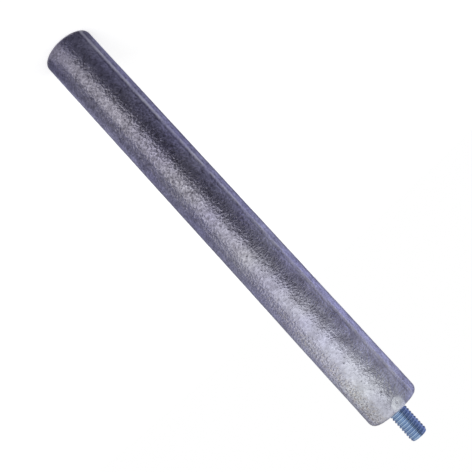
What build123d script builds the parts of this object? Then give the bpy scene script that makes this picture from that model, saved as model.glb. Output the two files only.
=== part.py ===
from build123d import *
import os

# Sacrificial anode: a cast magnesium rod with a threaded steel stud cast into one end.
#
# The rod stands on its sawn end, stud upwards. The origin is the centre of the sawn end, and +Z runs along
# the rod to the stud. The two halves of the mould meet in the XZ plane. All sizes are in millimetres.

# Cast rod
rod_diameter = 18.0
rod_length = 157.0
shoulder_height = 2.0
shoulder_width = 1.6

# Parting line: the trimmed flash where the two mould halves met
ridge_width = 0.8
ridge_height = 0.2

# Stud, its metric thread standing as a plain cylinder of the thread's major diameter
thread_diameter = 6.0
thread_pitch = 1.0
stud_projection = 11.0
tip_chamfer_height = 0.75

# Shank of the stud inside the casting, turned flush with the casting's end
shank_diameter = 6.5
shank_length = 24.0
groove_count = 3
groove_spacing = 4.5
groove_top_depth = 4.0
groove_depth = 0.7
key_flat_length = 6.0
key_flat_gap = 5.0

# The tip is chamfered down to the root of the thread
thread_depth = 0.6134 * thread_pitch
ridge_rounding = 0.375 * ridge_width

rod_radius = rod_diameter / 2
thread_radius = thread_diameter / 2
shank_radius = shank_diameter / 2
stud_tip_z = rod_length + stud_projection
shank_foot_z = rod_length - shank_length


def draw_rod_outline(side_radius):
    """Draw half of the rod's section: sawn foot, straight side, rounded shoulder, flat end."""
    shoulder_start = (side_radius, rod_length - shoulder_height)
    shoulder_centre = (rod_radius - shoulder_width, rod_length - shoulder_height)
    shoulder_end = (rod_radius - shoulder_width, rod_length)
    Polyline((0, rod_length), (0, 0), (side_radius, 0), shoulder_start)
    EllipticalCenterArc(shoulder_centre, side_radius - shoulder_centre[0], shoulder_height, arc_size=90)
    Line(shoulder_end, (0, rod_length))


# Threaded stud: its shank in the casting has turned grooves that hold it, and two flats that stop it turning
with BuildPart() as threaded_stud:
    with BuildSketch(Plane.XZ):
        with BuildLine():
            Polyline(
                (0, shank_foot_z),
                (shank_radius, shank_foot_z),
                (shank_radius, rod_length),
                (thread_radius, rod_length),
                (thread_radius, stud_tip_z - tip_chamfer_height),
                (thread_radius - thread_depth, stud_tip_z),
                (0, stud_tip_z),
                close=True,
            )
        make_face()
        for index in range(groove_count):
            groove_z = rod_length - groove_top_depth - index * groove_spacing
            with Locations((shank_radius, groove_z)):
                RegularPolygon(groove_depth, side_count=4, mode=Mode.SUBTRACT)
    revolve(axis=Axis.Z)
    with BuildSketch(Plane.XY.offset(shank_foot_z)):
        Circle(shank_radius)
        Rectangle(key_flat_gap, shank_diameter, mode=Mode.SUBTRACT)
    extrude(amount=key_flat_length, mode=Mode.SUBTRACT)
threaded_stud.part.label = "threaded_stud"

# Parting ridge: a thin blade in the mould's joint plane, a little wider than the rod, rounded along its rims
with BuildPart() as parting_ridge:
    with BuildSketch(Plane.XZ):
        with BuildLine():
            draw_rod_outline(rod_radius + ridge_height)
        make_face()
        mirror(about=Plane.YZ)
    extrude(amount=ridge_width / 2, both=True)
    rims = parting_ridge.faces().filter_by(Axis.X)
    fillet(rims.edges().filter_by(Axis.Z), radius=ridge_rounding)

# Cast rod: the metal closes round the stud, so the stud itself shapes its socket
with BuildPart() as anode_body:
    with BuildSketch(Plane.XZ):
        with BuildLine():
            draw_rod_outline(rod_radius)
        make_face()
    revolve(axis=Axis.Z)
    add(parting_ridge.part)
    add(threaded_stud.part, mode=Mode.SUBTRACT)
anode_body.part.label = "anode_body"

os.makedirs("parts", exist_ok=True)
export_step(anode_body.part, "parts/anode_body.step")
export_step(threaded_stud.part, "parts/threaded_stud.step")
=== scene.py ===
import math

import bmesh
import bpy
from mathutils import Matrix, Vector


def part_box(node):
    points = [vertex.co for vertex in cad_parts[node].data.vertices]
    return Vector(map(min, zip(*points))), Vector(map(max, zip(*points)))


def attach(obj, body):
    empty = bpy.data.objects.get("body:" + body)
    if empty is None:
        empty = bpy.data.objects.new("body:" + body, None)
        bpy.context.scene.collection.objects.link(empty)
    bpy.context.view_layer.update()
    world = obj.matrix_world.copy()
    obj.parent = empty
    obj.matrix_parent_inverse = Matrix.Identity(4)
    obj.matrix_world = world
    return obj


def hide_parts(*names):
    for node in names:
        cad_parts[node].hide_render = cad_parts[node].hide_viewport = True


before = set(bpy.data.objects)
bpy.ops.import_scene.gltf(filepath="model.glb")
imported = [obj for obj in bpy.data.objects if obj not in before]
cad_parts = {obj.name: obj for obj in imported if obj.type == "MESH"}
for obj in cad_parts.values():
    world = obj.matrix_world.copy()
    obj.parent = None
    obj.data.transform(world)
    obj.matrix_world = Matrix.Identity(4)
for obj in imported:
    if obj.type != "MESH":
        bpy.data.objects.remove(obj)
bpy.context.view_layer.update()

# Sacrificial anode: a cast magnesium rod with a blue zinc-plated steel stud in one end.
#
# Sizes are in metres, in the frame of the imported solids: the rod stands on its sawn end at the origin, and
# +Z runs along it to the stud. The two halves of the mould met in the XZ plane.

bl_info = {
    "name": "Sacrificial anode",
    "version": (1, 0, 0),
    "blender": (4, 5, 0),
    "location": "View3D > Sidebar > Anode",
    "description": "Builds the cast rod, its threaded stud and a small studio round the packed solids",
    "category": "Add Mesh",
}

ROD_LOW, ROD_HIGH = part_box("anode_body")
STUD_LOW, STUD_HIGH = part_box("threaded_stud")
BODY = "root"

MM = 0.001
TINY = 1e-7
WELD_DISTANCE = 1e-6
SHARP_ANGLE = math.radians(35)
TURN = 2 * math.pi


# ------------ settings


def maker(kind, **limits):
    """Makes properties of one kind from a name, a description and a default."""
    return lambda name, description, default: kind(
        name=name, description=description, default=default, **limits
    )


# Sizes are in metres and colours are linear
length = maker(bpy.props.FloatProperty, min=0.0, precision=5, unit="LENGTH")
number = maker(bpy.props.FloatProperty, min=0.0, max=1000.0)
angle = maker(bpy.props.FloatProperty, subtype="ANGLE", unit="ROTATION")
count = maker(bpy.props.IntProperty, min=1)
colour = maker(bpy.props.FloatVectorProperty, size=3, min=0.0, max=1.0, subtype="COLOR")
point = maker(bpy.props.FloatVectorProperty, size=3, subtype="TRANSLATION", unit="LENGTH")


class AnodeRodSettings(bpy.types.PropertyGroup):
    """Sizes of the cast rod and of its skin."""

    diameter: length("Rod diameter", "Across the rod, between the parting ridges", ROD_HIGH[1] - ROD_LOW[1])
    length: length("Rod length", "From the sawn end to the end with the stud", ROD_HIGH[2])
    rim_break: length("Rim break", "Bevel left on the sawn rim", 0.12 * MM)
    shoulder_height: length("Shoulder height", "How far the rounded shoulder reaches down the side", 2.0 * MM)
    shoulder_width: length("Shoulder width", "How far the rounded shoulder reaches into the end", 1.6 * MM)
    ridge_width: length("Ridge width", "Across the trimmed flash at the mould's joint", 0.8 * MM)
    ridge_height: length("Ridge height", "Proud of the rod", ROD_HIGH[0] - (ROD_HIGH[1] - ROD_LOW[1]) / 2)
    ridge_wear: number("Ridge wear", "How far trimming spread a ridge near the stud", 1.5)
    ridge_spread: number("Ridge spread", "How far the ridges spread by the sawn end", 2.2)
    furrow_offset: length("Furrow offset", "From a ridge's middle to the furrow beside it", 1.25 * MM)
    furrow_depth: length("Furrow depth", "Depth of the furrow that trimming left beside a ridge", 0.05 * MM)
    filed_width: length("Filed width", "Strip beside a ridge that the file caught", 2.6 * MM)
    ring_spacing: length("Ring spacing", "Between rings of the skin's mesh", 0.33 * MM)
    columns: count("Columns", "Mesh columns in each quarter, besides those across a ridge", 40)
    pebble_size: length("Pebble size", "Across one pebble of the cast skin", 0.9 * MM)
    pebble_depth: length("Pebble depth", "From the top of a pebble to the gap beside it", 0.04 * MM)
    wave_size: length("Wave size", "Across one of the skin's slow hollows", 9.0 * MM)
    wave_depth: length("Wave depth", "Depth of the slow hollows", 0.04 * MM)
    skin_swell: length("Skin swell", "How far the tops of the pebbles stand above the plain rod", 0.11 * MM)
    gate_bearing: angle("Gate bearing", "Where the gate mark sits, from +X", math.radians(221.0))
    gate_below_end: length("Gate below end", "From the end with the stud to the gate mark's middle", 1.7 * MM)
    gate_radius: length("Gate radius", "Size of the gate mark", 2.5 * MM)
    gate_depth: length("Gate depth", "How far the gate mark is sunk", 0.04 * MM)
    seed: number("Seed", "Picks another skin", 3.7)


class AnodeStudSettings(bpy.types.PropertyGroup):
    """Sizes of the stud, its thread and its shank inside the casting."""

    thread_diameter: length("Thread diameter", "Major diameter", 5.96 * MM)
    pitch: length("Pitch", "From one crest to the next", 1.0 * MM)
    thread_depth: length("Thread depth", "From crest to root", 0.36 * MM)
    tip_chamfer: length("Tip chamfer", "Height of the chamfer at the tip", 0.75 * MM)
    tip_crown: length("Tip crown", "How far the middle of the tip stands above its edge", 0.2 * MM)
    relief: length("Relief", "Plain neck between the casting and the first thread", 0.35 * MM)
    shank_diameter: length("Shank diameter", "Shank inside the casting", STUD_HIGH[0] - STUD_LOW[0])
    groove_depth: length("Groove depth", "Depth of the grooves that hold the shank", 0.7 * MM)
    groove_spacing: length("Groove spacing", "Between two grooves", 4.5 * MM)
    groove_top: length("Top groove", "Depth of the first groove below the casting's end", 4.0 * MM)
    groove_count: count("Grooves", "How many grooves the shank has", 3)
    flat_length: length("Key flat length", "Flats at the foot of the shank", 6.0 * MM)
    flat_gap: length("Key flat gap", "Across the two flats", 5.0 * MM)
    columns: count("Columns", "Mesh columns round the stud", 96)
    rows_per_pitch: count("Rows per pitch", "Mesh rows along one turn of the thread", 16)


class AnodeFinishSettings(bpy.types.PropertyGroup):
    """Colours of the metals and of the floor."""

    # The skin goes from tarnished to clean towards the stud, which is partly tarnish and partly painted light
    # and shade
    clean_magnesium: colour("Clean magnesium", "Cast skin near the stud", (0.85, 0.885, 0.95))
    tarnished_magnesium: colour("Tarnished magnesium", "Cast skin near the sawn end", (0.70, 0.67, 0.765))
    bare_magnesium: colour("Bare magnesium", "Where flash was trimmed or filed", (0.84, 0.84, 0.86))
    violet_tarnish: colour("Violet tarnish", "Thin film that tints the skin in clouds", (0.80, 0.78, 1.0))
    # This colour serves the gap film and flecks, and also the painted shade at the rod's foot, in the furrows
    # and in the ring dent
    tarnish_in_gaps: colour("Tarnish in gaps", "Darker film between the pebbles", (0.12, 0.11, 0.14))
    oxide_speck: colour("Oxide speck", "Pale brown specks in the skin", (0.58, 0.54, 0.50))
    pit: colour("Pit", "Bottom of a pit in the cast skin", (0.05, 0.045, 0.05))
    sawn_magnesium: colour("Sawn magnesium", "Fresh metal at the cut", (0.66, 0.66, 0.68))
    saw_mark: colour("Saw mark", "Darker line that the saw left", (0.40, 0.40, 0.42))
    blue_zinc: colour("Blue zinc", "Passivated plating on the thread", (0.29, 0.40, 0.60))
    worn_zinc: colour("Worn zinc", "Plating on the crests", (0.44, 0.60, 0.80))
    paper: colour("Paper", "Floor of the studio", (0.85, 0.85, 0.85))


class AnodeStageSettings(bpy.types.PropertyGroup):
    """Camera, lamps and floor."""

    camera_aim: point("Camera aim", "Point that the camera looks at", (0.0003, -0.0003, 0.0848))
    camera_distance: length("Camera distance", "From the aim to the camera", 0.2246)
    camera_bearing: angle("Camera bearing", "Direction of the view, from +X", math.radians(51.0))
    camera_drop: angle("Camera drop", "How far the view points below the horizon", math.radians(7.9986))
    camera_roll: angle("Camera roll", "Turn about the line of sight", math.radians(137.63))
    camera_lens: number("Camera lens", "Focal length on a 36 mm sensor, in millimetres", 53.55)
    floor_size: length("Floor size", "Side of the square floor", 8.0)
    ambient: number("Ambient", "Light from all round on matt surfaces", 0.45)
    floor_lift: number("Floor lift", "What the white paper adds where it is seen or mirrored", 0.56)
    key_power: number("Key power", "Strength of the soft main light", 0.7)
    fill_power: number("Fill power", "Strength of the softer light from the other side", 0.3)


# ------------ node helpers


ORIGIN = (0.0, 0.0, 0.0)
# The metal froze into patterns that are longer round the rod than along it
FREEZE_STRETCH = (0.70, 0.70, 1.0)
COLUMN_WIDTH, ROW_HEIGHT = 220, 180


def feed(tree, socket, value):
    """Links a socket to an input, or sets the input to a plain value, a colour with full alpha."""
    if isinstance(value, bpy.types.NodeSocket):
        tree.links.new(value, socket)
    elif socket.type == "RGBA":
        socket.default_value = (*value, 1.0)
    else:
        socket.default_value = value


def add_node(tree, kind, inputs=None, **settings):
    """Adds a node, sets its properties and feeds its inputs by name or number."""
    node = tree.nodes.new(kind)
    for name, value in settings.items():
        setattr(node, name, value)
    for key, value in (inputs or {}).items():
        feed(tree, node.inputs[key], value)
    return node


def maths(tree, operation, *values, clamp=False):
    """The output of a Math node."""
    node = add_node(tree, "ShaderNodeMath", dict(enumerate(values)), operation=operation, use_clamp=clamp)
    return node.outputs[0]


def times(tree, product, *others):
    """The product of two or more values."""
    for other in others:
        product = maths(tree, "MULTIPLY", product, other)
    return product


def less(tree, value, share=1.0):
    """1 less a share of a value."""
    return maths(tree, "SUBTRACT", 1.0, times(tree, value, share))


def apart(tree, first, second):
    """How far apart two values are."""
    return maths(tree, "ABSOLUTE", maths(tree, "SUBTRACT", first, second))


def map_range(tree, value, from_low, from_high, to_low=0.0, to_high=1.0, kind="LINEAR"):
    """The output of a clamped Map Range node."""
    inputs = {0: value, 1: from_low, 2: from_high, 3: to_low, 4: to_high}
    return add_node(tree, "ShaderNodeMapRange", inputs, interpolation_type=kind).outputs[0]


def between(tree, share, low, high):
    """A value that goes from low to high as a share goes from 0 to 1."""
    return map_range(tree, share, 0.0, 1.0, low, high)


def close_to(tree, distance, full, none):
    """1 up to one distance, easing to 0 at another."""
    return map_range(tree, distance, full, none, 1.0, 0.0, "SMOOTHSTEP")


def vector_maths(tree, operation, first, second, output="Vector"):
    """An output of a Vector Math node that takes two vectors."""
    node = add_node(tree, "ShaderNodeVectorMath", {0: first, 1: second}, operation=operation)
    return node.outputs[output]


def split_xyz(tree, vector):
    """The three outputs of a Separate XYZ node."""
    return add_node(tree, "ShaderNodeSeparateXYZ", {0: vector}).outputs


def join_xyz(tree, x, y, z):
    """The output of a Combine XYZ node."""
    return add_node(tree, "ShaderNodeCombineXYZ", {0: x, 1: y, 2: z}).outputs[0]


def distance_between(tree, first, second):
    """The distance between two points."""
    return vector_maths(tree, "DISTANCE", first, second, "Value")


def from_axis(tree, x, y):
    """How far a point lies from the rod's axis."""
    return distance_between(tree, join_xyz(tree, x, y, 0.0), ORIGIN)


def stretched(tree, vector):
    """A vector whose patterns come out longer round the rod than along it."""
    return vector_maths(tree, "MULTIPLY", vector, FREEZE_STRETCH)


def mix_colour(tree, share, first, second, blend="MIX"):
    """The colour output of a Mix node."""
    inputs = {0: share, 6: first, 7: second}
    return add_node(tree, "ShaderNodeMix", inputs, data_type="RGBA", blend_type=blend).outputs[2]


def noise(tree, vector, size, detail=2.0, roughness=0.5, distortion=0.0, seed=None):
    """The value output of a Noise Texture whose lumps are about size across."""
    inputs = {"Vector": vector, "Scale": maths(tree, "DIVIDE", 1.0, size), "Detail": detail}
    inputs |= {"Roughness": roughness, "Distortion": distortion}
    if seed is not None:
        inputs["W"] = seed
    dimensions = "3D" if seed is None else "4D"
    return add_node(tree, "ShaderNodeTexNoise", inputs, noise_dimensions=dimensions).outputs[0]


def patches(tree, vector, size, detail, *shown):
    """Patches of noise, where shown holds the two ends of the noise's range and the value at each."""
    return map_range(tree, noise(tree, vector, size, detail=detail), *shown)


def tidy_tree(tree):
    """Spreads a tree's nodes in columns, each to the right of what feeds it."""
    depth = {}

    def column(node):
        if node.name not in depth:
            depth[node.name] = 0
            sources = [link.from_node for entry in node.inputs for link in entry.links]
            depth[node.name] = 1 + max((column(source) for source in sources), default=0)
        return depth[node.name]

    rows = {}
    for node in tree.nodes:
        across = column(node)
        node.location = (COLUMN_WIDTH * across, -ROW_HEIGHT * rows.get(across, 0))
        rows[across] = rows.get(across, 0) + 1


# ------------ turned base mesh


# Where the mesh's columns stand, from the middle of a ridge outwards, in widths of the ridge
RIDGE_COLUMNS = (0.0, 0.16, 0.32, 0.48, 0.64, 0.82, 1.04)
# Height of the step between the flats at the shank's foot and the round shank above them
FLAT_STEP = 0.05 * MM


def heading(bearing, lift=0.0):
    """A unit vector at a bearing from +X and a lift above the horizon."""
    level = math.cos(lift)
    return Vector((math.cos(bearing) * level, math.sin(bearing) * level, math.sin(lift)))


def ring_angles(columns):
    """Even angles round a turned piece."""
    return [TURN * index / columns for index in range(columns)]


def rod_angles(settings):
    """Angles round the rod, closer together across each parting ridge, where the ridge bends."""
    ridge_turn = settings.ridge_width / (settings.diameter / 2)
    across_ridge = [share * ridge_turn for share in RIDGE_COLUMNS]
    step = (math.pi / 2 - across_ridge[-1]) / settings.columns
    quarter = across_ridge + [across_ridge[-1] + step * (index + 1) for index in range(settings.columns)]
    half = quarter + [math.pi - turn for turn in reversed(quarter[:-1])]
    return half[:-1] + [math.pi + turn for turn in half[:-1]]


def turned_mesh(name, profile, angles):
    """A closed mesh turned about Z from (radius, height) points that start and end on the axis."""
    points, faces, rings = [], [], []
    for radius, height in profile:
        first = len(points)
        if radius < TINY:
            points.append((0.0, 0.0, height))
        else:
            points.extend((radius * math.cos(turn), radius * math.sin(turn), height) for turn in angles)
        rings.append(range(first, len(points)))
    for lower, upper in zip(rings, rings[1:]):
        for index in range(len(angles)):
            after = (index + 1) % len(angles)
            corners = [lower[0]] if len(lower) == 1 else [lower[index], lower[after]]
            corners += [upper[0]] if len(upper) == 1 else [upper[after], upper[index]]
            faces.append(corners)
    mesh = bpy.data.meshes.new(name)
    mesh.from_pydata(points, [], faces)
    return mesh


def even_steps(start, end, spacing):
    """Values from start to end, about spacing apart, without the start."""
    steps = max(1, round(abs(end - start) / spacing))
    return [start + (end - start) * (index + 1) / steps for index in range(steps)]


def shank_profile(stud, mouth):
    """(radius, height) points up the stud's shank, from the middle of its foot to the casting's end."""
    radius = stud.shank_diameter / 2
    foot = STUD_LOW[2]
    flat_top = foot + stud.flat_length
    profile = [(0.0, foot), (radius, foot), (radius, flat_top - FLAT_STEP), (radius, flat_top)]
    for index in reversed(range(stud.groove_count)):
        middle = mouth - stud.groove_top - index * stud.groove_spacing
        profile.append((radius, middle - stud.groove_depth))
        profile.append((radius - stud.groove_depth, middle))
        profile.append((radius, middle + stud.groove_depth))
    return profile + [(radius, mouth)]


def press_flats(mesh, stud):
    """Flattens the two sides of the shank's foot, or of the socket that it sits in."""
    half_gap = stud.flat_gap / 2
    reach = stud.shank_diameter / 2 + TINY
    flat_top = STUD_LOW[2] + stud.flat_length - FLAT_STEP / 2
    for vertex in mesh.vertices:
        inside = math.hypot(vertex.co.x, vertex.co.y) < reach
        if inside and STUD_LOW[2] - TINY < vertex.co.z < flat_top:
            vertex.co.x = max(-half_gap, min(half_gap, vertex.co.x))


def named_inputs(settings, *names):
    """Settings by the names of their sockets, such as ridge_width by Ridge Width."""
    return {name.replace("_", " ").title(): getattr(settings, name) for name in names}


def start_tree(name, inputs):
    """A Geometry Nodes tree with a socket for each named input, and the outputs of its Group Input."""
    tree = bpy.data.node_groups.new(name, "GeometryNodeTree")
    tree.interface.new_socket("Geometry", in_out="INPUT", socket_type="NodeSocketGeometry")
    tree.interface.new_socket("Geometry", in_out="OUTPUT", socket_type="NodeSocketGeometry")
    for label, value in inputs.items():
        # A float gets a NodeSocketFloat, a Vector a NodeSocketVector, and so on
        kind = "NodeSocket" + type(value).__name__.capitalize()
        tree.interface.new_socket(label, in_out="INPUT", socket_type=kind)
    return tree, tree.nodes.new("NodeGroupInput").outputs


def finish_tree(tree, geometry, materials):
    """Ends a tree in Realize Instances and a Set Material for each (material, selection) pair."""
    geometry = add_node(tree, "GeometryNodeRealizeInstances", {"Geometry": geometry}).outputs[0]
    for material, selection in materials:
        inputs = {"Geometry": geometry, "Material": material}
        if selection is not None:
            inputs["Selection"] = selection
        geometry = add_node(tree, "GeometryNodeSetMaterial", inputs).outputs[0]
    add_node(tree, "NodeGroupOutput", {"Geometry": geometry})
    tidy_tree(tree)
    return tree


def new_object(name, data):
    """A new object in the scene."""
    item = bpy.data.objects.new(name, data)
    bpy.context.scene.collection.objects.link(item)
    return item


def finished_mesh(base, tree, inputs, name, replaced):
    """Runs a Geometry Nodes tree on a base mesh and returns the result as one plain object."""
    piece = new_object(name, base)
    modifier = piece.modifiers.new(tree.name, "NODES")
    modifier.node_group = tree
    sockets = {item.name: item.identifier for item in tree.interface.items_tree if item.in_out == "INPUT"}
    for key, value in inputs.items():
        modifier[sockets[key]] = value
    depsgraph = bpy.context.evaluated_depsgraph_get()
    mesh = bpy.data.meshes.new_from_object(piece.evaluated_get(depsgraph))
    piece.modifiers.remove(modifier)
    piece.data = mesh
    mesh.name = name
    close_up(mesh)
    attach(piece, BODY)
    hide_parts(replaced)
    return piece


def close_up(mesh):
    """Welds the mesh, points its faces outwards and shades it smooth up to its sharp edges."""
    shape = bmesh.new()
    shape.from_mesh(mesh)
    bmesh.ops.remove_doubles(shape, verts=shape.verts, dist=WELD_DISTANCE / 2)
    bmesh.ops.recalc_face_normals(shape, faces=shape.faces)
    shape.to_mesh(mesh)
    shape.free()
    mesh.shade_smooth()
    mesh.set_sharp_from_angle(angle=SHARP_ANGLE)


# ------------ cast rod


SAWN_RING_SPACING = 0.8 * MM
SHOULDER_RINGS = 10
# What the skin's mesh carries at its points, for the material to read
MARKS = ("gaps", "trimmed", "filed", "furrow", "gate")
ON_POINTS = {"data_type": "FLOAT", "domain": "POINT"}

# Widths and reaches of what is cut, torn and filed
CUT_EDGE, CUT_FADE = 0.02 * MM, 0.4 * MM
MOUTH_MARGIN, MOUTH_FADE = 0.05 * MM, 0.8 * MM
RAGGED_SIZE, RAGGED_REACH, GATE_RIM_WIDTH = 1.6 * MM, 1.0 * MM, 0.45 * MM
TORN_SIZE, TORN_REACH, TRIM_SIZE = 1.7 * MM, 0.6 * MM, 5.0 * MM
STROKE_SIZE, FURROW_WIDTH = 16 * MM, 0.5 * MM
# The product of x and y from which a side of a ridge counts in full as filed, in square metres
HAND_FADE = 1.5 * MM * MM
# Shares of the gate's radius, of a ridge's half width, of the rod's radius, and of x in marks along the rod
GATE_FLAT, CREST_FLAT, SIDE_START, LENGTHWISE = 0.7, 0.3, 0.86, 0.2
# How much smoother the pebbles are on the gate mark, on a ridge and on a filed strip
GATE_SMOOTHING, RIDGE_SMOOTHING, FILED_SMOOTHING = 0.6, 0.7, 0.6
# Share of the furrow's depth on the side of a ridge that the file missed
MISSED_FURROW = 0.3
# How far the gate mark's middle lies inside the rod, in shoulder widths, and its ring below it, in gate radii
GATE_INSET, GATE_RING_DROP = 0.2, 0.3
# The two ends of a range, of heights or of noise, and then the value at each end
RIDGE_HEIGHTS = (45 * MM, 80 * MM)
TEAR_BY_HEIGHT = (*RIDGE_HEIGHTS, 1.0, 0.5)
STROKES_BY_HEIGHT = (50 * MM, 100 * MM, -0.10, 0.08)
TRIM_RANGE = (0.34, 0.56, 0.25, 1.0)
STROKE_RANGE = (0.42, 0.58)
PEBBLE_RANGE = (0.3, 0.7, 1.0, 0.0)
WAVE_RANGE = (0.25, 0.75)


def rod_profile(rod, stud):
    """(radius, height) points over the rod, from the sawn end up the side, over the end, down the socket."""
    radius = rod.diameter / 2
    shoulder_radius = radius - rod.shoulder_width
    shoulder_start = rod.length - rod.shoulder_height
    profile = [(0.0, 0.0)]
    profile += [(step, 0.0) for step in even_steps(0.0, radius - rod.rim_break, SAWN_RING_SPACING)]
    profile += [(radius, rod.rim_break)]
    profile += [(radius, step) for step in even_steps(rod.rim_break, shoulder_start, rod.ring_spacing)]
    for index in range(SHOULDER_RINGS):
        turn = math.pi / 2 * (index + 1) / SHOULDER_RINGS
        reach = shoulder_radius + rod.shoulder_width * math.cos(turn)
        profile.append((reach, shoulder_start + rod.shoulder_height * math.sin(turn)))
    mouth = stud.shank_diameter / 2
    profile += [(step, rod.length) for step in even_steps(shoulder_radius, mouth, rod.ring_spacing)]
    return profile + shank_profile(stud, rod.length)[-2::-1]


def wavering(tree, vector, size, reach, **settings):
    """A noise that swings evenly to both sides of 0, over a given reach in all."""
    return maths(tree, "MULTIPLY_ADD", noise(tree, vector, size, **settings), reach, -reach / 2)


def cast_skin_tree(inputs):
    """Geometry Nodes: sinks pebbles, slow hollows and a gate mark into the skin and raises the ridges."""
    tree, given = start_tree("cast_skin", inputs)
    rod_radius, gate_radius, seed = given["Rod Radius"], given["Gate Radius"], given["Seed"]
    position = tree.nodes.new("GeometryNodeInputPosition").outputs[0]
    normal = tree.nodes.new("GeometryNodeInputNormal").outputs[0]
    x, y, z = split_xyz(tree, position)
    across = from_axis(tree, x, y)

    # The skin is all that lies outside the socket and above the cut
    past_mouth = maths(tree, "ADD", given["Socket Radius"], MOUTH_MARGIN)
    on_end = map_range(tree, across, past_mouth, maths(tree, "ADD", past_mouth, MOUTH_FADE))
    skin = times(tree, map_range(tree, z, 0.0, CUT_FADE), on_end)

    # Where the feeder broke away: a flat scar inside a low rim
    ragged = wavering(tree, position, RAGGED_SIZE, RAGGED_REACH, detail=1.0, seed=seed)
    from_gate = maths(tree, "ADD", distance_between(tree, position, given["Gate Place"]), ragged)
    gate = close_to(tree, from_gate, times(tree, gate_radius, GATE_FLAT), gate_radius)
    rim = close_to(tree, apart(tree, from_gate, gate_radius), 0.0, GATE_RIM_WIDTH)

    # Trimmed flash on both sides of the XZ plane, fading where the shoulder turns into the end
    torn = wavering(tree, position, TORN_SIZE, TORN_REACH, roughness=0.6, seed=seed)
    spread = map_range(tree, z, *RIDGE_HEIGHTS, given["Ridge Spread"], given["Ridge Wear"])
    half_width = times(tree, given["Ridge Width"], 0.5, spread)
    from_joint = maths(tree, "ABSOLUTE", y)
    from_crest = maths(tree, "MULTIPLY_ADD", torn, map_range(tree, z, *TEAR_BY_HEIGHT), from_joint)
    on_side = map_range(tree, across, times(tree, rod_radius, SIDE_START), rod_radius)
    ridge = close_to(tree, from_crest, times(tree, half_width, CREST_FLAT), half_width)
    ridge = times(tree, ridge, on_side)
    along = join_xyz(tree, times(tree, x, LENGTHWISE), 0.0, z)
    trim = noise(tree, along, TRIM_SIZE, roughness=0.6, seed=seed)
    trimmed = times(tree, ridge, map_range(tree, trim, *TRIM_RANGE))

    # The file ran on the side of each ridge where x and y have the same sign
    hand = map_range(tree, times(tree, x, y), 0.0, HAND_FADE)
    strip = times(tree, close_to(tree, from_joint, half_width, given["Filed Width"]), hand, on_side)
    strokes = noise(tree, along, STROKE_SIZE, detail=3.0, roughness=0.6, seed=seed)
    strokes = maths(tree, "ADD", strokes, map_range(tree, z, *STROKES_BY_HEIGHT))
    filed = times(tree, strip, map_range(tree, strokes, *STROKE_RANGE))
    furrow = map_range(tree, apart(tree, from_crest, given["Furrow Offset"]), 0.0, FURROW_WIDTH, 1.0, 0.0)
    furrow_share = maths(tree, "MULTIPLY_ADD", hand, 1.0 - MISSED_FURROW, MISSED_FURROW)
    furrow = times(tree, furrow, furrow_share, on_side)

    # Pebbles, smoother where the skin was worked, and slow hollows
    drawn = stretched(tree, position)
    pebbles = noise(tree, drawn, given["Pebble Size"], detail=1.0, distortion=0.3, seed=seed)
    smooth = times(tree, less(tree, gate, GATE_SMOOTHING), less(tree, ridge, RIDGE_SMOOTHING))
    smooth = times(tree, smooth, less(tree, filed, FILED_SMOOTHING))
    gaps = times(tree, map_range(tree, pebbles, *PEBBLE_RANGE), smooth, skin)
    waves = noise(tree, position, given["Wave Size"], detail=0.0, seed=seed)
    waves = map_range(tree, waves, *WAVE_RANGE, kind="SMOOTHSTEP")

    # All of it moves the surface along its normal, but not out of the plain rod's box
    sunk = times(tree, gaps, given["Pebble Depth"])
    for mark, depth in ((waves, "Wave Depth"), (gate, "Gate Depth"), (furrow, "Furrow Depth")):
        sunk = maths(tree, "MULTIPLY_ADD", mark, given[depth], sunk)
    sunk = maths(tree, "SUBTRACT", sunk, given["Skin Swell"])
    sunk = times(tree, sunk, less(tree, maths(tree, "MAXIMUM", ridge, rim)))
    rise = maths(tree, "MULTIPLY_ADD", trimmed, given["Ridge Height"], times(tree, sunk, -1.0))
    scale_inputs = {0: normal, "Scale": times(tree, rise, skin)}
    offset = add_node(tree, "ShaderNodeVectorMath", scale_inputs, operation="SCALE").outputs[0]
    moved_x, moved_y, moved_z = split_xyz(tree, vector_maths(tree, "ADD", position, offset))
    moved_y = maths(tree, "MINIMUM", moved_y, rod_radius)
    moved_y = maths(tree, "MAXIMUM", moved_y, times(tree, rod_radius, -1.0))
    moved = join_xyz(tree, moved_x, moved_y, maths(tree, "MINIMUM", moved_z, given["Rod Length"]))

    geometry = given["Geometry"]
    values = (gaps, *(times(tree, mark, skin) for mark in (trimmed, filed, furrow)), gate)
    for name, value in zip(MARKS, values):
        mark_inputs = {"Geometry": geometry, "Name": name, "Value": value}
        geometry = add_node(tree, "GeometryNodeStoreNamedAttribute", mark_inputs, **ON_POINTS).outputs[0]
    on_cut = maths(tree, "LESS_THAN", z, CUT_EDGE)
    geometry = add_node(tree, "GeometryNodeSetPosition", {"Geometry": geometry, "Position": moved}).outputs[0]
    return finish_tree(tree, geometry, [(given["Skin Material"], None), (given["Sawn Material"], on_cut)])


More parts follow.
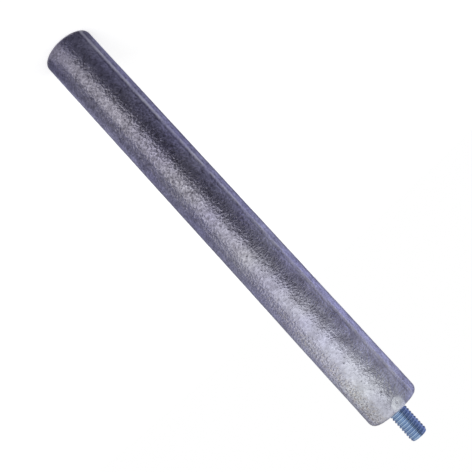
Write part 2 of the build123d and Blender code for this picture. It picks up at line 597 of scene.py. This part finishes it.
def build_rod(context):
    """Makes the cast rod with its skin, ridges, sawn end and the socket that holds the stud."""
    rod, stud, finish = context.scene.anode_rod, context.scene.anode_stud, context.scene.anode_finish
    base = turned_mesh("anode_body_base", rod_profile(rod, stud), rod_angles(rod))
    press_flats(base, stud)
    gate_place = heading(rod.gate_bearing) * (rod.diameter / 2 - GATE_INSET * rod.shoulder_width)
    gate_place.z = rod.length - rod.gate_below_end
    gate_dent = gate_place - Vector((0.0, 0.0, GATE_RING_DROP * rod.gate_radius))
    inputs = {
        "Rod Radius": rod.diameter / 2,
        "Rod Length": rod.length,
        "Socket Radius": stud.shank_diameter / 2,
        **named_inputs(rod, "ridge_width", "ridge_height", "ridge_wear", "ridge_spread"),
        **named_inputs(rod, "furrow_offset", "furrow_depth", "filed_width", "pebble_size", "pebble_depth"),
        **named_inputs(rod, "wave_size", "wave_depth", "skin_swell", "gate_radius", "gate_depth", "seed"),
        "Gate Place": gate_place,
        "Skin Material": cast_magnesium(finish, gate_dent),
        "Sawn Material": sawn_magnesium(finish),
    }
    piece = finished_mesh(base, cast_skin_tree(inputs), inputs, "cast_rod", "anode_body")


# ------------ threaded stud


# Points of the crowned tip below its middle: shares of the root's radius and of the crown's height
TIP_POINTS = ((1.0, 0.0), (0.75, 0.5), (0.4, 0.9))
# Flat widths of the thread's crest and root, and where the thread starts, in pitches
CREST_SHARE, ROOT_SHARE, CREST_PHASE = 0.32, 0.16, 0.5


def stud_profile(stud):
    """(radius, height) points of the stud without its thread: the shank with its shoulder, and the tip."""
    root = stud.thread_diameter / 2 - stud.thread_depth
    mouth = ROD_HIGH[2]
    edge = STUD_HIGH[2] - stud.tip_crown
    tip = [(root * across, edge + stud.tip_crown * up) for across, up in TIP_POINTS]
    return shank_profile(stud, mouth) + [(root, mouth)], tip + [(0.0, STUD_HIGH[2])]


def thread_tree(inputs):
    """Geometry Nodes: rolls a sheet of rows that climb one pitch a turn into a thread, and joins it on."""
    tree, given = start_tree("rolled_thread", inputs)
    foot, tip, pitch, relief = given["Foot"], given["Tip"], given["Pitch"], given["Relief"]
    major_radius, thread_depth = given["Major Radius"], given["Thread Depth"]

    # The rows climb as they go round, so they start up to a pitch below the foot and end up to one above the
    # tip. What lies past the foot or the tip is pressed flat there and welded at the end.
    reach = maths(tree, "SUBTRACT", tip, foot)
    turns = maths(tree, "ADD", maths(tree, "CEIL", maths(tree, "DIVIDE", reach, pitch)), 1.0)
    row_steps = times(tree, turns, given["Rows Per Pitch"])
    sheet_inputs = {
        "Size X": 1.0,
        "Size Y": 1.0,
        "Vertices X": maths(tree, "ADD", given["Columns"], 1.0),
        "Vertices Y": maths(tree, "ADD", row_steps, 1.0),
    }
    sheet = add_node(tree, "GeometryNodeMeshGrid", sheet_inputs).outputs[0]
    flat_x, flat_y, _ = split_xyz(tree, tree.nodes.new("GeometryNodeInputPosition").outputs[0])
    round_share = maths(tree, "ADD", flat_x, 0.5)
    turn = times(tree, round_share, TURN)
    climbed = times(tree, maths(tree, "ADD", flat_y, 0.5), turns)
    climbed = maths(tree, "ADD", climbed, maths(tree, "SUBTRACT", round_share, 1.0))
    free_height = maths(tree, "MULTIPLY_ADD", climbed, pitch, foot)
    height = maths(tree, "MINIMUM", maths(tree, "MAXIMUM", free_height, foot), tip)

    # Share of the pitch between this point and the nearest crest, from 0 to a half
    risen = maths(tree, "SUBTRACT", height, foot)
    phase = maths(tree, "SUBTRACT", maths(tree, "DIVIDE", risen, pitch), round_share)
    from_crest = maths(tree, "PINGPONG", maths(tree, "ADD", phase, CREST_PHASE), 0.5)
    flank = map_range(tree, from_crest, CREST_SHARE / 2, 0.5 - ROOT_SHARE / 2, 1.0, 0.0)
    started = map_range(tree, risen, relief, times(tree, relief, 2.0))
    root = maths(tree, "SUBTRACT", major_radius, thread_depth)
    threaded = maths(tree, "MULTIPLY_ADD", times(tree, flank, started), thread_depth, root)
    below_tip = maths(tree, "SUBTRACT", tip, height)
    cone = map_range(tree, below_tip, 0.0, given["Tip Chamfer"], root, major_radius)
    radius = maths(tree, "MINIMUM", threaded, cone)

    x, y = (times(tree, radius, maths(tree, side, turn)) for side in ("COSINE", "SINE"))
    place_inputs = {"Geometry": sheet, "Position": join_xyz(tree, x, y, height)}
    thread = add_node(tree, "GeometryNodeSetPosition", place_inputs).outputs[0]
    joined = tree.nodes.new("GeometryNodeJoinGeometry")
    tree.links.new(given["Geometry"], joined.inputs[0])
    tree.links.new(thread, joined.inputs[0])
    weld_inputs = {"Geometry": joined.outputs[0], "Distance": WELD_DISTANCE}
    welded = add_node(tree, "GeometryNodeMergeByDistance", weld_inputs).outputs[0]
    return finish_tree(tree, welded, [(given["Material"], None)])


def build_stud(context):
    """Makes the steel stud: its shank in the casting, the rolled thread and the chamfered tip."""
    stud = context.scene.anode_stud
    shank, tip = stud_profile(stud)
    foot_height, tip_height = shank[-1][1], tip[0][1]
    base = turned_mesh("threaded_stud_base", shank + tip, ring_angles(stud.columns))
    open_wall(base, foot_height, tip_height)
    press_flats(base, stud)
    inputs = {
        "Major Radius": stud.thread_diameter / 2,
        "Foot": foot_height,
        "Tip": tip_height,
        **named_inputs(stud, "thread_depth", "pitch", "tip_chamfer", "relief", "columns", "rows_per_pitch"),
        "Material": blue_zinc(context.scene.anode_finish),
    }
    piece = finished_mesh(base, thread_tree(inputs), inputs, "steel_stud", "threaded_stud")


def open_wall(mesh, low, high):
    """Takes out the plain wall between two heights, where the thread goes."""
    shape = bmesh.new()
    shape.from_mesh(mesh)
    wall = []
    for face in shape.faces:
        heights = [vertex.co.z for vertex in face.verts]
        if abs(min(heights) - low) < TINY and abs(max(heights) - high) < TINY:
            wall.append(face)
    bmesh.ops.delete(shape, geom=wall, context="FACES_ONLY")
    shape.to_mesh(mesh)
    shape.free()


# ------------ materials


# The values that each metal gives to the shared grain
SKIN_GRAIN = {"Grain Size": 0.64 * MM, "Cloud Size": 12 * MM, "Pit Size": 1.4 * MM, "Pit Share": 0.12}
SAWN_GRAIN = {"Grain Size": 0.5 * MM, "Cloud Size": 6 * MM, "Pit Size": 1.2 * MM, "Pit Share": 0.05}
ZINC_GRAIN = {"Grain Size": 0.35 * MM, "Cloud Size": 3 * MM, "Pit Size": 0.8 * MM, "Pit Share": 0.06}

# Along the cast rod: two heights, and then the value at each
# From tarnished to clean, lighter towards the stud: partly tarnish, partly painted light and shade
CLEAN_AND_LIT_BY_HEIGHT = (0.055, ROD_HIGH[2])
# The gap film's share, larger towards the sawn end: partly film, partly painted shade
GAP_FILM_AND_SHADE_BY_HEIGHT = (0.06, 0.14, 0.58, 0.22)
MOTTLE_BY_HEIGHT = (0.08, 0.13, 0.0, 0.22)
PATCHY_BY_HEIGHT = (0.09, 0.15, 0.15, 1.0)
WORN_BY_HEIGHT = (0.05, 0.12, 0.66, 0.42)
# Painted shade at the sawn rim, partly wear there, and over the rod's foot, and a darker band over its last
# few millimetres
DARKENING_BY_HEIGHT = (
    (0.8 * MM, 3.5 * MM, 0.25, 0.0),
    (2.0 * MM, 36 * MM, 0.31, 0.0),
    (147 * MM, 151 * MM, 0.0, 0.22),
)
# Round the cast rod: the bearing that a side faces, and how far out towards it the side begins
ROUGH_SIDE = (math.radians(180), 3.0 * MM)
CLEAN_SIDE = (math.radians(238), 5.5 * MM)
OXIDE_SIDE = (math.radians(292), 6.8 * MM)
SIDE_FULL = 8.7 * MM
# Patches in the cast skin: size, detail, the ends of the noise's range, and the value at each
VIOLET_CLOUDS = (22 * MM, 2.0, 0.42, 0.66, 0.0, 0.6)
MOTTLE = (3.2 * MM, 3.0, 0.3, 0.7, -1.0, 1.0)
BROWN_SPECKS = (0.9 * MM, 1.0, 0.50, 0.64, 0.0, 0.7)
DARK_FLECKS = (0.5 * MM, 1.0, 0.48, 0.64, 0.0, 0.7)
# Shares of the cast skin's marks in its colour, and the least of those that vary
CLOUD_SHARE, GAP_SHARE, LEAST_MOTTLE, CLEAN_SIDE_SHARE = 0.24, 0.6, 0.12, 0.4
# The furrow's share is painted shade beside each ridge
PIT_SHARE, FURROW_SHADE_SHARE, RING_SHADE_SHARE, FILED_SHARE = 0.55, 0.6, 0.3, 0.5
LEAST_SCUFF, SCUFF_GRAIN, LEAST_TORN, TORN_GRAIN, TORN_WEAR = 0.25, 0.5, 0.75, 0.25, 0.9
WORKED_SMOOTHING = 0.6
# Radius of the ring dent by the gate mark, its soft line's two edges beside that, and its share of the bump
# The ring dent is also painted darker along its line, as painted shade
RING_RADIUS, RING_LINE, RING_DEPTH = 0.4 * MM, (0.05 * MM, 0.22 * MM), 0.6
# Shader values: from plain to worn skin, and from the least grain to the most
SKIN_METALLIC, SKIN_ROUGHNESS, WORN_ROUGHNESS = (0.96, 0.45), (0.42, 0.28), 0.15
SAWN_ROUGHNESS, ZINC_ROUGHNESS = (0.30, 0.42), (0.26, 0.36)
# Strength and depth of each bump
SKIN_BUMP, SAWN_BUMP, ZINC_BUMP = (1.0, 0.135 * MM), (0.5, 0.03 * MM), (0.25, 0.02 * MM)
# The saw's marks: width, how little they change along x, how far they bow, per metre, and their darkness
SAW_MARK, SAW_STRETCH, SAW_BOW, SAW_SHADE = 0.22 * MM, 0.02, 6.0, 0.35
# The radii between which the thread's flank turns into its crest, and the shares of clouds and crest in wear
CREST_RADII, ZINC_CLOUD_SHARE, CREST_WEAR = (2.55 * MM, 2.95 * MM), 0.4, 0.2
# The ends of a noise's range that count as none and all, and where a pit's edge begins and ends in its cell
NOISE_RANGE, PIT_EDGE = (0.30, 0.70), (0.05, 0.28)


def grain_group():
    """Shader group shared by the metals: fine grain, slow clouds and sparse pits over a surface."""
    if "metal_grain" in bpy.data.node_groups:
        return bpy.data.node_groups["metal_grain"]
    group = bpy.data.node_groups.new("metal_grain", "ShaderNodeTree")
    group.interface.new_socket("Vector", in_out="INPUT", socket_type="NodeSocketVector")
    for label in SKIN_GRAIN:
        group.interface.new_socket(label, in_out="INPUT", socket_type="NodeSocketFloat")
    for label in ("Grain", "Clouds", "Pits"):
        group.interface.new_socket(label, in_out="OUTPUT", socket_type="NodeSocketFloat")
    given, out = group.nodes.new("NodeGroupInput").outputs, group.nodes.new("NodeGroupOutput").inputs
    grain = noise(group, given["Vector"], given["Grain Size"], distortion=0.4)
    feed(group, out["Grain"], map_range(group, grain, *NOISE_RANGE))
    clouds = noise(group, given["Vector"], given["Cloud Size"], detail=3.0, roughness=0.55)
    feed(group, out["Clouds"], map_range(group, clouds, *NOISE_RANGE))
    cell_inputs = {"Vector": given["Vector"], "Scale": maths(group, "DIVIDE", 1.0, given["Pit Size"])}
    cells = add_node(group, "ShaderNodeTexVoronoi", cell_inputs).outputs
    chosen = maths(group, "LESS_THAN", split_xyz(group, cells["Color"])[0], given["Pit Share"])
    feed(group, out["Pits"], times(group, close_to(group, cells["Distance"], *PIT_EDGE), chosen))
    tidy_tree(group)
    return group


def new_material(name):
    """A material with only a Principled BSDF and its output, and the tree and shader to work on."""
    material = bpy.data.materials.new(name)
    material.use_nodes = True
    tree = material.node_tree
    return material, tree, tree.nodes["Principled BSDF"]


def glowing_material(name):
    """A material whose shader is still to be made, its tree, and the socket that takes the shader."""
    material, tree, shader = new_material(name)
    tree.nodes.remove(shader)
    return material, tree, tree.nodes["Material Output"].inputs["Surface"]


def new_metal(name, grain_values):
    """A new material with the shared grain in it, and the coordinates and grain to work with."""
    material, tree, shader = new_material(name)
    vector = tree.nodes.new("ShaderNodeTexCoord").outputs["Object"]
    inputs = {"Vector": stretched(tree, vector), **grain_values}
    grain = add_node(tree, "ShaderNodeGroup", inputs, node_tree=grain_group()).outputs
    return material, tree, shader, vector, grain


def finish_metal(tree, shader, colour, metallic, roughness, relief, bump):
    """Feeds a metal's colour, gloss and relief to its shader, where bump is a (strength, depth) pair."""
    bump_inputs = {"Height": relief, "Strength": bump[0], "Distance": bump[1]}
    normal = add_node(tree, "ShaderNodeBump", bump_inputs).outputs[0]
    values = {"Base Color": colour, "Metallic": metallic, "Roughness": roughness, "Normal": normal}
    for key, value in values.items():
        feed(tree, shader.inputs[key], value)
    tidy_tree(tree)


def side_share(tree, vector, bearing, start):
    """1 on the side of the rod that faces a bearing, falling to 0 where it faces it by less than start."""
    facing = vector_maths(tree, "DOT_PRODUCT", vector, heading(bearing), "Value")
    return map_range(tree, facing, start, SIDE_FULL)


def cast_magnesium(finish, gate_dent):
    """Dull cast skin: clean by the stud and tarnished by the cut, partly as painted light and shade, with
    brown specks, dark pits, and painted shade by the foot, in the furrows and in the ring dent.
    """
    material, tree, shader, vector, grain = new_metal("cast_magnesium", SKIN_GRAIN)
    height = split_xyz(tree, vector)[2]
    gaps, trimmed, filed, furrow, gate = (
        add_node(tree, "ShaderNodeAttribute", attribute_name=name).outputs["Fac"] for name in MARKS
    )
    plain = less(tree, maths(tree, "MAXIMUM", gate, filed), WORKED_SMOOTHING)

    # Clean or tarnished metal, lighter towards the stud, which is partly tarnish and partly painted light and
    # shade, a violet film in clouds, and darker film in the gaps between the pebbles
    along = maths(tree, "SUBTRACT", map_range(tree, height, *CLEAN_AND_LIT_BY_HEIGHT), CLOUD_SHARE / 2)
    clean = maths(tree, "MULTIPLY_ADD", grain["Clouds"], CLOUD_SHARE, along, clamp=True)
    base = mix_colour(tree, clean, finish.tarnished_magnesium, finish.clean_magnesium)
    violet = patches(tree, vector, *VIOLET_CLOUDS)
    base = mix_colour(tree, violet, base, finish.violet_tarnish, "MULTIPLY")
    shade = maths(tree, "MULTIPLY_ADD", gaps, GAP_SHARE, times(tree, less(tree, grain["Grain"]), plain))
    # The gap film is painted darker towards the sawn end, partly as painted shade
    shade = times(tree, shade, map_range(tree, height, *GAP_FILM_AND_SHADE_BY_HEIGHT))
    uneven = times(tree, side_share(tree, vector, *ROUGH_SIDE), map_range(tree, height, *MOTTLE_BY_HEIGHT))
    uneven = maths(tree, "ADD", uneven, LEAST_MOTTLE)
    shade = maths(tree, "MULTIPLY_ADD", patches(tree, vector, *MOTTLE), uneven, shade, clamp=True)

    # Brown specks and dark flecks, more on some sides of the rod and towards the stud
    clean_side = side_share(tree, vector, *CLEAN_SIDE)
    side = maths(tree, "MULTIPLY_ADD", clean_side, -CLEAN_SIDE_SHARE, CLEAN_SIDE_SHARE)
    side = maths(tree, "MAXIMUM", side, side_share(tree, vector, *OXIDE_SIDE))
    patchy = times(tree, side, map_range(tree, height, *PATCHY_BY_HEIGHT))
    brown = times(tree, patches(tree, vector, *BROWN_SPECKS), patchy)
    flecks = times(tree, patches(tree, vector, *DARK_FLECKS), patchy)
    # Painted shade at the sawn rim and over the rod's foot, and a darker band a little below the shoulder
    darkening = 0.0
    for heights in DARKENING_BY_HEIGHT:
        darkening = maths(tree, "ADD", darkening, map_range(tree, height, *heights))

    # Bare metal on the trimmed ridges, thinner on the strips that the file caught and on the gate mark
    scuffed = maths(tree, "MULTIPLY_ADD", grain["Grain"], SCUFF_GRAIN, LEAST_SCUFF)
    bare = times(tree, trimmed, map_range(tree, height, *WORN_BY_HEIGHT))
    bare = maths(tree, "MAXIMUM", bare, times(tree, filed, FILED_SHARE, scuffed))
    torn = times(tree, maths(tree, "MULTIPLY_ADD", grain["Grain"], TORN_GRAIN, LEAST_TORN), gate)
    worn = maths(tree, "MAXIMUM", bare, times(tree, torn, TORN_WEAR))
    ring = apart(tree, distance_between(tree, vector, gate_dent), RING_RADIUS)
    ring = close_to(tree, ring, *RING_LINE)

    # Each film or mark lies over those before it
    coats = (
        (shade, finish.tarnish_in_gaps),
        (brown, finish.oxide_speck),
        (flecks, finish.tarnish_in_gaps),
        (times(tree, grain["Pits"], plain, PIT_SHARE), finish.pit),
        # Painted shade at the sawn rim and the rod's foot, and the darker band below the shoulder
        (darkening, finish.tarnish_in_gaps),
        # Painted shade in the furrow beside each ridge
        (times(tree, furrow, FURROW_SHADE_SHARE), finish.tarnish_in_gaps),
        (bare, finish.bare_magnesium),
        (torn, finish.clean_magnesium),
        # Painted shade along the ring dent
        (times(tree, ring, RING_SHADE_SHARE), finish.tarnish_in_gaps),
    )
    for share, coat in coats:
        base = mix_colour(tree, share, base, coat)

    metallic = between(tree, worn, *SKIN_METALLIC)
    rough = between(tree, grain["Grain"], *SKIN_ROUGHNESS)
    rough = maths(tree, "MULTIPLY_ADD", worn, WORN_ROUGHNESS, rough)
    relief = times(tree, maths(tree, "SUBTRACT", grain["Grain"], grain["Pits"]), plain)
    relief = maths(tree, "MULTIPLY_ADD", ring, -RING_DEPTH, relief)
    finish_metal(tree, shader, base, metallic, rough, relief, SKIN_BUMP)
    return material


def sawn_magnesium(finish):
    """Fresh cut metal with the slightly bowed marks of the saw."""
    material, tree, shader, vector, grain = new_metal("sawn_magnesium", SAWN_GRAIN)
    x, y, _ = split_xyz(tree, vector)
    bowed = maths(tree, "MULTIPLY_ADD", times(tree, x, x), SAW_BOW, y)
    marks = noise(tree, join_xyz(tree, times(tree, x, SAW_STRETCH), bowed, 0.0), SAW_MARK)
    marks = map_range(tree, marks, *NOISE_RANGE)
    base = mix_colour(tree, times(tree, marks, SAW_SHADE), finish.sawn_magnesium, finish.saw_mark)
    rough = between(tree, grain["Clouds"], *SAWN_ROUGHNESS)
    finish_metal(tree, shader, base, 1.0, rough, marks, SAWN_BUMP)
    return material


def blue_zinc(finish):
    """Blue passivated zinc plating, paler where it is worn, which is most on the crests."""
    material, tree, shader, vector, grain = new_metal("blue_zinc", ZINC_GRAIN)
    x, y, _ = split_xyz(tree, vector)
    crest = times(tree, map_range(tree, from_axis(tree, x, y), *CREST_RADII), CREST_WEAR)
    worn = maths(tree, "MULTIPLY_ADD", grain["Clouds"], ZINC_CLOUD_SHARE, crest, clamp=True)
    base = mix_colour(tree, worn, finish.blue_zinc, finish.worn_zinc)
    rough = between(tree, grain["Grain"], *ZINC_ROUGHNESS)
    finish_metal(tree, shader, base, 1.0, rough, grain["Grain"], ZINC_BUMP)
    return material


# ------------ stage


PLAIN, COOL, BLUE = (1.00, 1.00, 1.00), (0.96, 0.98, 1.36), (0.96, 0.98, 1.54)
VIOLET, MILD, WARM = (0.98, 0.92, 1.90), (1.00, 0.94, 1.06), (1.00, 0.97, 0.90)
# The strength and tint of the tent's cloth at its foot and at its top, and the heights between which it turns
CLOTH = ((0.205, COOL), (0.275, MILD))
CLOTH_HEIGHTS = (0.05, 0.15)
# The even light round the rod's foot: strength, tint, and its share in the cloth from near the foot outwards
BOUNCE = (0.32, COOL)
BOUNCE_BY_REACH = (0.010, 0.070, 0.45, 0.0)
# The soft cards on the tent. Each has the width of its soft edge in degrees and the heights between which its
# foot turns into its top. Its foot and its top each have a bearing from +X and a half width, in degrees, a
# strength and a tint. A card whose half width is below zero at its foot hangs above it. A later card covers
# those before it.
CARDS = (
    # The dark frame of the rear card, and the rear card
    (20.0, (0.050, 0.150), (50.0, 38.0, 0.02, COOL), (50.0, 38.0, 0.05, COOL)),
    (12.0, (0.050, 0.150), (50.0, 16.0, 1.00, PLAIN), (50.0, 18.0, 1.00, PLAIN)),
    # The side card, which stands towards +X and -Y, and the far card beyond it, towards +X
    (10.0, (0.101, 0.165), (320.0, 22.0, 0.21, COOL), (320.0, 42.0, 0.86, WARM)),
    (44.0, (0.000, 0.016), (362.0, 12.0, 0.72, COOL), (362.0, 13.0, 0.43, COOL)),
    # The blue strip beyond the ridge on -X, and the dark card between that ridge and the camera
    (42.0, (0.020, 0.120), (110.0, 17.0, 0.49, BLUE), (113.0, 15.0, 0.69, BLUE)),
    (20.0, (0.075, 0.165), (201.0, 25.0, 0.02, VIOLET), (203.0, 8.0, 0.60, PLAIN)),
    # The main card on the camera's other side, and the high card over the camera
    (14.0, (0.045, 0.090), (262.0, 22.5, 0.98, PLAIN), (267.0, 34.5, 0.91, PLAIN)),
    (20.0, (0.120, 0.165), (232.0, -25.0, 1.00, PLAIN), (232.0, 32.0, 1.00, PLAIN)),
    # A dim card and a dark one at the height that the stud mirrors
    (16.0, (0.170, 0.188), (165.0, -30.0, 0.50, COOL), (165.0, 26.0, 0.50, COOL)),
    (10.0, (0.170, 0.188), (206.0, -20.0, 0.02, COOL), (206.0, 17.5, 0.02, COOL)),
)
# The tent in (radius, height) points: a mouth round the rod's foot, the floor, the round wall and the roof
TENT_PROFILE = ((0.0093, 0.0002), (0.12, 0.0002), (0.12, 0.30), (0.0, 0.30))
TENT_SIDES = 36
# Bearing, height and spread of the two far lamps, in degrees
KEY_LIGHT, FILL_LIGHT = (255.0, 38.0, 30.0), (110.0, 30.0, 60.0)
SENSOR_WIDTH = 36.0
NEAREST_SEEN = 0.005


def seen_or_mirrored(tree):
    """1 for rays from the camera, from gloss and through glass, and 0 for light on matt surfaces."""
    path = tree.nodes.new("ShaderNodeLightPath").outputs
    seen = maths(tree, "MAXIMUM", path["Is Camera Ray"], path["Is Glossy Ray"])
    return maths(tree, "MAXIMUM", seen, path["Is Transmission Ray"])


def build_world(context):
    """White all round where it is seen or mirrored, and soft even light on everything else."""
    world = bpy.data.worlds.new("studio")
    context.scene.world = world
    world.use_nodes = True
    tree = world.node_tree
    background = tree.nodes["Background"]
    feed(tree, background.inputs["Color"], PLAIN)
    strength = between(tree, seen_or_mirrored(tree), context.scene.anode_stage.ambient, 1.0)
    feed(tree, background.inputs["Strength"], strength)
    tidy_tree(tree)


def paper(context):
    """White paper floor: matt, so that it keeps a shadow, and lifted to white where it is seen."""
    material, tree, surface = glowing_material("studio_paper")
    matt = add_node(tree, "ShaderNodeBsdfDiffuse", {"Color": context.scene.anode_finish.paper})
    lift = times(tree, seen_or_mirrored(tree), context.scene.anode_stage.floor_lift)
    glow = add_node(tree, "ShaderNodeEmission", {"Strength": lift})
    both = add_node(tree, "ShaderNodeAddShader", {0: matt.outputs[0], 1: glow.outputs[0]})
    feed(tree, surface, both.outputs[0])
    tidy_tree(tree)
    return material


def build_floor(context):
    """The square paper floor that the rod stands on."""
    half = context.scene.anode_stage.floor_size / 2
    mesh = bpy.data.meshes.new("studio_floor")
    corners = [(-half, -half, 0), (half, -half, 0), (half, half, 0), (-half, half, 0)]
    mesh.from_pydata(corners, [], [(0, 1, 2, 3)])
    mesh.materials.append(paper(context))
    floor = new_object("studio_floor", mesh)


def lit(strength, tint):
    """A tint at a strength."""
    return [strength * part for part in tint]


def tent_cloth():
    """Lit cloth of the tent, with the soft cards painted on it by their bearing and height."""
    material, tree, surface = glowing_material("tent_cloth")
    vector = tree.nodes.new("ShaderNodeTexCoord").outputs["Object"]
    x, y, z = split_xyz(tree, vector)
    bearing = maths(tree, "DEGREES", maths(tree, "ARCTAN2", y, x))
    risen = map_range(tree, z, *CLOTH_HEIGHTS, kind="SMOOTHSTEP")
    light = mix_colour(tree, risen, *(lit(*cloth) for cloth in CLOTH))
    for edge, heights, (foot_bearing, foot_width, *foot), (top_bearing, top_width, *top) in CARDS:
        climb = map_range(tree, z, *heights, kind="SMOOTHSTEP")
        middle = between(tree, climb, foot_bearing, top_bearing)
        aside = maths(tree, "WRAP", maths(tree, "SUBTRACT", bearing, middle), 180.0, -180.0)
        width = between(tree, climb, foot_width, top_width)
        inner, outer = (maths(tree, "ADD", width, side * edge / 2) for side in (-1, 1))
        card = mix_colour(tree, climb, lit(*foot), lit(*top))
        on_card = close_to(tree, maths(tree, "ABSOLUTE", aside), inner, outer)
        light = mix_colour(tree, on_card, light, card)
    near_foot = map_range(tree, distance_between(tree, vector, ORIGIN), *BOUNCE_BY_REACH)
    light = mix_colour(tree, near_foot, light, lit(*BOUNCE))
    glow = add_node(tree, "ShaderNodeEmission", {"Color": light})
    feed(tree, surface, glow.outputs[0])
    tidy_tree(tree)
    return material


def build_tent(context):
    """A light tent round the rod that only gloss sees, so that lamps and camera look through it."""
    mesh = turned_mesh("light_tent", TENT_PROFILE, ring_angles(TENT_SIDES))
    mesh.materials.append(tent_cloth())
    tent = new_object("light_tent", mesh)
    for rays in ("camera", "diffuse", "shadow", "transmission"):
        setattr(tent, f"visible_{rays}", False)


def add_sun(name, power, bearing, height, spread):
    """Soft even light from far off: its bearing from +X, its height and its spread are in degrees."""
    towards = heading(math.radians(bearing), math.radians(height))
    data = bpy.data.lights.new(name, "SUN")
    data.energy = power
    data.angle = math.radians(spread)
    lamp = new_object(name, data)
    lamp.matrix_world = Matrix.Translation(towards) @ towards.to_track_quat("Z", "Y").to_matrix().to_4x4()
    lamp.visible_glossy = False


def build_camera(context):
    """The camera: it looks down a little and is rolled, so that the rod lies across the picture."""
    stage = context.scene.anode_stage
    sight = heading(stage.camera_bearing, -stage.camera_drop)
    right = sight.cross(Vector((0.0, 0.0, 1.0))).normalized()
    upright = Matrix((right, right.cross(sight), -sight)).transposed()
    roll = Matrix.Rotation(stage.camera_roll, 3, "Z")
    data = bpy.data.cameras.new("camera")
    data.lens = stage.camera_lens
    data.sensor_width = SENSOR_WIDTH
    data.clip_start = NEAREST_SEEN
    camera = new_object("camera", data)
    stand = Matrix.Translation(Vector(stage.camera_aim) - sight * stage.camera_distance)
    camera.matrix_world = stand @ (upright @ roll).to_4x4()
    context.scene.camera = camera
    context.scene.view_settings.view_transform = "Standard"


# ------------ operators


class ANODE_OT_stage(bpy.types.Operator):
    """Build the white floor, the soft lights, the light tent and the camera"""

    bl_idname = "anode.stage"
    bl_label = "Stage"

    def execute(self, context):
        build_world(context)
        build_floor(context)
        build_tent(context)
        stage = context.scene.anode_stage
        add_sun("key_light", stage.key_power, *KEY_LIGHT)
        add_sun("fill_light", stage.fill_power, *FILL_LIGHT)
        build_camera(context)
        return {"FINISHED"}


class ANODE_OT_cast_rod(bpy.types.Operator):
    """Build the cast magnesium rod in place of its plain solid"""

    bl_idname = "anode.cast_rod"
    bl_label = "Cast rod"

    def execute(self, context):
        build_rod(context)
        return {"FINISHED"}


class ANODE_OT_steel_stud(bpy.types.Operator):
    """Build the threaded steel stud in place of its plain solid"""

    bl_idname = "anode.steel_stud"
    bl_label = "Threaded stud"

    def execute(self, context):
        build_stud(context)
        return {"FINISHED"}


OPERATORS = (ANODE_OT_stage, ANODE_OT_cast_rod, ANODE_OT_steel_stud)
SETTINGS = {
    "anode_rod": AnodeRodSettings,
    "anode_stud": AnodeStudSettings,
    "anode_finish": AnodeFinishSettings,
    "anode_stage": AnodeStageSettings,
}


class ANODE_PT_panel(bpy.types.Panel):
    """Settings and operators of the anode, in the 3D view's sidebar"""

    bl_idname = "ANODE_PT_panel"
    bl_label = "Sacrificial anode"
    bl_space_type = "VIEW_3D"
    bl_region_type = "UI"
    bl_category = "Anode"

    def draw(self, context):
        for operator in OPERATORS:
            self.layout.operator(operator.bl_idname)
        for name in SETTINGS:
            settings = getattr(context.scene, name)
            box = self.layout.box()
            for key in settings.__annotations__:
                box.prop(settings, key)


def register():
    """Registers the settings, the operators and the panel."""
    for name, group in SETTINGS.items():
        bpy.utils.register_class(group)
        setattr(bpy.types.Scene, name, bpy.props.PointerProperty(type=group))
    for item in (*OPERATORS, ANODE_PT_panel):
        bpy.utils.register_class(item)


def unregister():
    """Takes the panel, the operators and the settings away again."""
    for item in (ANODE_PT_panel, *reversed(OPERATORS)):
        bpy.utils.unregister_class(item)
    for name, group in reversed(SETTINGS.items()):
        delattr(bpy.types.Scene, name)
        bpy.utils.unregister_class(group)


def main():
    """Builds the stage and both pieces."""
    register()
    bpy.ops.anode.stage()
    bpy.ops.anode.cast_rod()
    bpy.ops.anode.steel_stud()


if __name__ == "__main__":
    main()
